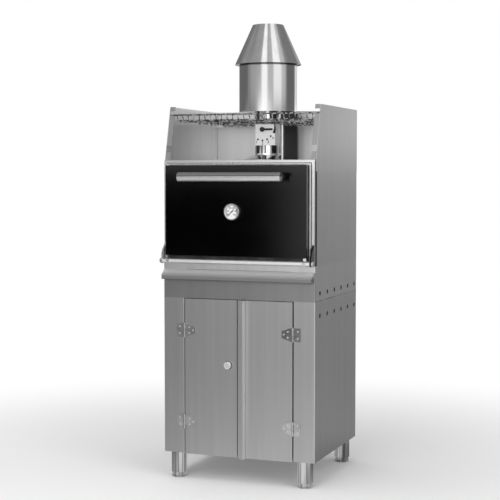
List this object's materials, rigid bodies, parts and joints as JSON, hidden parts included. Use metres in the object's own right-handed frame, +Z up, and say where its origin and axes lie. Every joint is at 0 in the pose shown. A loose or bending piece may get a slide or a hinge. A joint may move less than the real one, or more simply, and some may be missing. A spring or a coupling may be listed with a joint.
{
  "type": "charcoal oven",
  "caption": "Free-standing charcoal oven with a drop-down door, ash drawer, warming rack and capped flue, on a closed cabinet with hinged doors.",
  "frame": {"origin": "on the floor, midway between the outermost points of the object left to right and front to back", "axes": "+Z up, the oven door and the cabinet doors face -Y, +X to the right of someone facing the doors"},
  "size_m": [0.788, 0.83, 2.25],
  "materials": {
    "sheet": "satin stainless sheet",
    "polished": "polished stainless",
    "rack_wire": "bright wire",
    "enamel": "gloss black enamel",
    "dark_steel": "heat-darkened steel",
    "cast": "cast iron",
    "wool": "mineral insulation",
    "rope": "woven seal",
    "dial_white": "white enamel",
    "glass": "clear",
    "black_paint": "black lacquer"
  },
  "bodies": {
    "oven": {"cabinet_side_left": "sheet", "cabinet_side_right": "sheet", "cabinet_floor": "sheet", "cabinet_deck": "sheet", "cabinet_back": "sheet", "centre_post": "sheet", "plinth": "sheet", "oven_side_left": "sheet", "oven_side_right": "sheet", "oven_top": "sheet", "front_frame": "sheet", "bay_side_left": "sheet", "bay_side_right": "sheet", "back_panel": "sheet", "damper_scale": "sheet", "firebreaker_pipe": "sheet", "hat": "sheet", "leg_tubes": "polished", "leg_feet": "polished", "hinge_frame_leaves": "polished", "hinge_pins": "polished", "hinge_axle": "polished", "axle_nuts": "polished", "hinge_brackets": "polished", "flue_neck": "polished", "flue_collar": "polished", "rack_pillar": "polished", "rack_front": "rack_wire", "warming_rack": "rack_wire", "firebox": "dark_steel", "grill_rails": "dark_steel", "spark_baffle": "dark_steel", "chamber_floor": "dark_steel", "drawer_runners": "dark_steel", "charcoal_grate": "cast", "cooking_grill": "cast", "insulation": "wool", "door_gasket": "rope"},
    "oven_door": {"door_skin": "enamel", "door_carrier": "dark_steel", "door_insulation": "wool", "door_liner": "dark_steel", "door_ears": "dark_steel", "handle_bar": "polished", "handle_posts": "polished", "thermometer_case": "polished", "thermometer_dial": "dial_white", "thermometer_glass": "glass"},
    "gauge_needle": {"thermometer_needle": "black_paint"},
    "damper": {"damper_disc": "dark_steel", "damper_lever": "black_paint"},
    "ash_drawer": {"ash_drawer_pan": "dark_steel", "ash_drawer_front": "sheet"},
    "left_door": {"left_door_panel": "sheet", "left_hinge_leaves": "polished", "lock_barrel": "polished"},
    "door_lock": {"lock_knob": "polished"},
    "right_door": {"right_door_panel": "sheet", "right_hinge_leaves": "polished", "door_pull": "sheet"}
  },
  "joints": [
    {"name": "oven_door_hinge", "type": "hinge", "parent": "oven", "child": "oven_door", "pos_m": [0, -0.31, 1.078], "axis": [1, 0, 0], "range_deg": [0, 90]},
    {"name": "gauge_needle_turn", "type": "hinge", "parent": "oven_door", "child": "gauge_needle", "pos_m": [-0.011, -0.3275, 1.319], "axis": [0, 1, 0], "range_deg": [0, 270]},
    {"name": "damper_turn", "type": "hinge", "parent": "oven", "child": "damper", "pos_m": [0, 0.145, 1.723], "axis": [0, 1, 0], "range_deg": [0, 90]},
    {"name": "ash_drawer_slide", "type": "slide", "parent": "oven", "child": "ash_drawer", "axis": [0, -1, 0], "range_m": [0, 0.32]},
    {"name": "left_door_hinge", "type": "hinge", "parent": "oven", "child": "left_door", "pos_m": [-0.28, -0.281, 0.51], "axis": [0, 0, -1], "range_deg": [0, 170]},
    {"name": "door_lock_turn", "type": "hinge", "parent": "left_door", "child": "door_lock", "pos_m": [-0.05, -0.285, 0.575], "axis": [0, -1, 0], "range_deg": [0, 90]},
    {"name": "right_door_hinge", "type": "hinge", "parent": "oven", "child": "right_door", "pos_m": [0.28, -0.281, 0.51], "axis": [0, 0, 1], "range_deg": [0, 170]}
  ]
}
